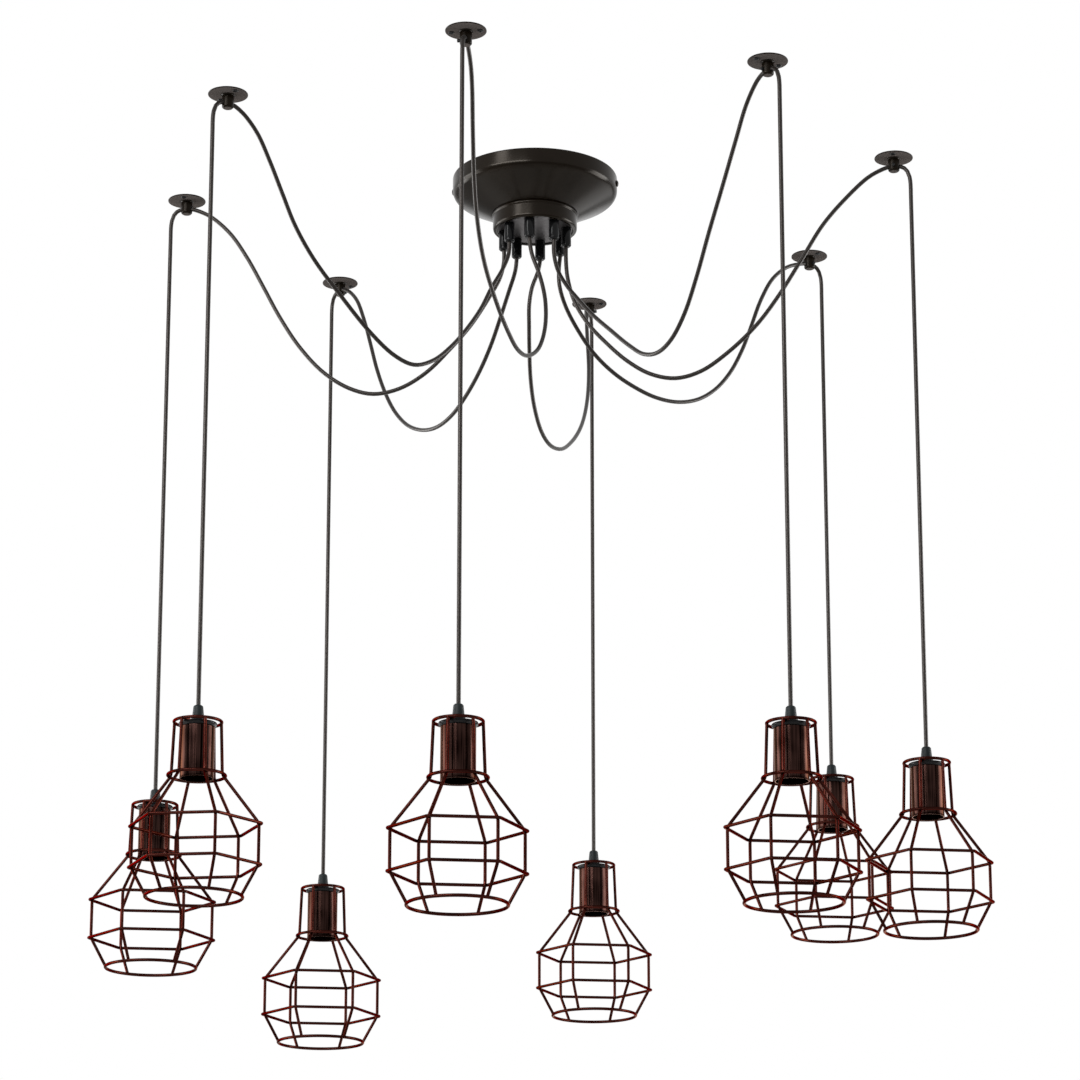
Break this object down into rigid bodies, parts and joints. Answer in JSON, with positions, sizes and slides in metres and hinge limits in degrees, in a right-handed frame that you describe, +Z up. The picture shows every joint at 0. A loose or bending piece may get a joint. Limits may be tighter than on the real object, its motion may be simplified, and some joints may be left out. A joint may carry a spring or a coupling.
{
  "type": "cluster pendant light",
  "caption": "Ceiling light: a round canopy feeds swagged cords through ceiling clips to hanging lampholders, each in an open wire cage for a bare bulb.",
  "frame": {"origin": "centre of the canopy on the ceiling plane, which is the crossbar's top face", "axes": "+Z up into the ceiling, +X to the right and +Y away as seen in the picture from below"},
  "size_m": [1.0492, 1.0363, 1.0029],
  "materials": {
    "canopy_paint": "satin dark bronze",
    "zinc_steel": "zinc plated",
    "terminal_moulding": "matt",
    "black_moulding": "gloss",
    "braided_flex": "fine braid",
    "holder_moulding": "satin",
    "copper_finish": "brushed dark copper"
  },
  "bodies": {
    "ceiling_group": {"canopy_dish": "canopy_paint", "canopy_hub": "canopy_paint", "crossbar": "zinc_steel", "terminal_block": "terminal_moulding", "ceiling_clip_1": "canopy_paint", "ceiling_clip_2": "canopy_paint", "ceiling_clip_3": "canopy_paint", "ceiling_clip_4": "canopy_paint", "ceiling_clip_5": "canopy_paint", "ceiling_clip_6": "canopy_paint", "ceiling_clip_7": "canopy_paint", "ceiling_clip_8": "canopy_paint", "cord_grip_1": "black_moulding", "cord_grip_2": "black_moulding", "cord_grip_3": "black_moulding", "cord_grip_4": "black_moulding", "cord_grip_5": "black_moulding", "cord_grip_6": "black_moulding", "cord_grip_7": "black_moulding", "cord_grip_8": "black_moulding", "swag_cord_1": "braided_flex", "swag_cord_2": "braided_flex", "swag_cord_3": "braided_flex", "swag_cord_4": "braided_flex", "swag_cord_5": "braided_flex", "swag_cord_6": "braided_flex", "swag_cord_7": "braided_flex", "swag_cord_8": "braided_flex"},
    "drop_1": {"drop_cord_1": "braided_flex"},
    "lamp_1": {"holder_cap_1": "holder_moulding", "holder_sleeve_1": "copper_finish", "cage_1": "copper_finish"},
    "drop_2": {"drop_cord_2": "braided_flex"},
    "lamp_2": {"holder_cap_2": "holder_moulding", "holder_sleeve_2": "copper_finish", "cage_2": "copper_finish"},
    "drop_3": {"drop_cord_3": "braided_flex"},
    "lamp_3": {"holder_cap_3": "holder_moulding", "holder_sleeve_3": "copper_finish", "cage_3": "copper_finish"},
    "drop_4": {"drop_cord_4": "braided_flex"},
    "lamp_4": {"holder_cap_4": "holder_moulding", "holder_sleeve_4": "copper_finish", "cage_4": "copper_finish"},
    "drop_5": {"drop_cord_5": "braided_flex"},
    "lamp_5": {"holder_cap_5": "holder_moulding", "holder_sleeve_5": "copper_finish", "cage_5": "copper_finish"},
    "drop_6": {"drop_cord_6": "braided_flex"},
    "lamp_6": {"holder_cap_6": "holder_moulding", "holder_sleeve_6": "copper_finish", "cage_6": "copper_finish"},
    "drop_7": {"drop_cord_7": "braided_flex"},
    "lamp_7": {"holder_cap_7": "holder_moulding", "holder_sleeve_7": "copper_finish", "cage_7": "copper_finish"},
    "drop_8": {"drop_cord_8": "braided_flex"},
    "lamp_8": {"holder_cap_8": "holder_moulding", "holder_sleeve_8": "copper_finish", "cage_8": "copper_finish"}
  },
  "joints": [
    {"name": "swing_1", "type": "hinge", "parent": "ceiling_group", "child": "drop_1", "pos_m": [-0.0791, -0.44858, -0.058], "axis": [0.9848, -0.1736, 0], "range_deg": [-10, 10]},
    {"name": "turn_1", "type": "hinge", "parent": "drop_1", "child": "lamp_1", "pos_m": [-0.0791, -0.44858, -0.791], "axis": [0, 0, 1], "range_deg": [-180, 180]},
    {"name": "swing_2", "type": "hinge", "parent": "ceiling_group", "child": "drop_2", "pos_m": [-0.36851, -0.26774, -0.058], "axis": [0.5878, -0.809, 0], "range_deg": [-10, 10]},
    {"name": "turn_2", "type": "hinge", "parent": "drop_2", "child": "lamp_2", "pos_m": [-0.36851, -0.26774, -0.747], "axis": [0, 0, 1], "range_deg": [-180, 180]},
    {"name": "swing_3", "type": "hinge", "parent": "ceiling_group", "child": "drop_3", "pos_m": [0.27413, -0.36378, -0.058], "axis": [0.7986, 0.6018, 0], "range_deg": [-10, 10]},
    {"name": "turn_3", "type": "hinge", "parent": "drop_3", "child": "lamp_3", "pos_m": [0.27413, -0.36378, -0.772], "axis": [0, 0, 1], "range_deg": [-180, 180]},
    {"name": "swing_4", "type": "hinge", "parent": "ceiling_group", "child": "drop_4", "pos_m": [0.44989, -0.07126, -0.058], "axis": [0.1564, 0.9877, 0], "range_deg": [-10, 10]},
    {"name": "turn_4", "type": "hinge", "parent": "drop_4", "child": "lamp_4", "pos_m": [0.44989, -0.07126, -0.747], "axis": [0, 0, 1], "range_deg": [-180, 180]},
    {"name": "swing_5", "type": "hinge", "parent": "ceiling_group", "child": "drop_5", "pos_m": [-0.44989, 0.07126, -0.058], "axis": [-0.1564, -0.9877, 0], "range_deg": [-10, 10]},
    {"name": "turn_5", "type": "hinge", "parent": "drop_5", "child": "lamp_5", "pos_m": [-0.44989, 0.07126, -0.765], "axis": [0, 0, 1], "range_deg": [-180, 180]},
    {"name": "swing_6", "type": "hinge", "parent": "ceiling_group", "child": "drop_6", "pos_m": [-0.26774, 0.36851, -0.058], "axis": [-0.809, -0.5878, 0], "range_deg": [-10, 10]},
    {"name": "turn_6", "type": "hinge", "parent": "drop_6", "child": "lamp_6", "pos_m": [-0.26774, 0.36851, -0.807], "axis": [0, 0, 1], "range_deg": [-180, 180]},
    {"name": "swing_7", "type": "hinge", "parent": "ceiling_group", "child": "drop_7", "pos_m": [0.07518, 0.44925, -0.058], "axis": [-0.9863, 0.165, 0], "range_deg": [-10, 10]},
    {"name": "turn_7", "type": "hinge", "parent": "drop_7", "child": "lamp_7", "pos_m": [0.07518, 0.44925, -0.76], "axis": [0, 0, 1], "range_deg": [-180, 180]},
    {"name": "swing_8", "type": "hinge", "parent": "ceiling_group", "child": "drop_8", "pos_m": [0.36851, 0.26774, -0.058], "axis": [-0.5878, 0.809, 0], "range_deg": [-10, 10]},
    {"name": "turn_8", "type": "hinge", "parent": "drop_8", "child": "lamp_8", "pos_m": [0.36851, 0.26774, -0.689], "axis": [0, 0, 1], "range_deg": [-180, 180]}
  ]
}
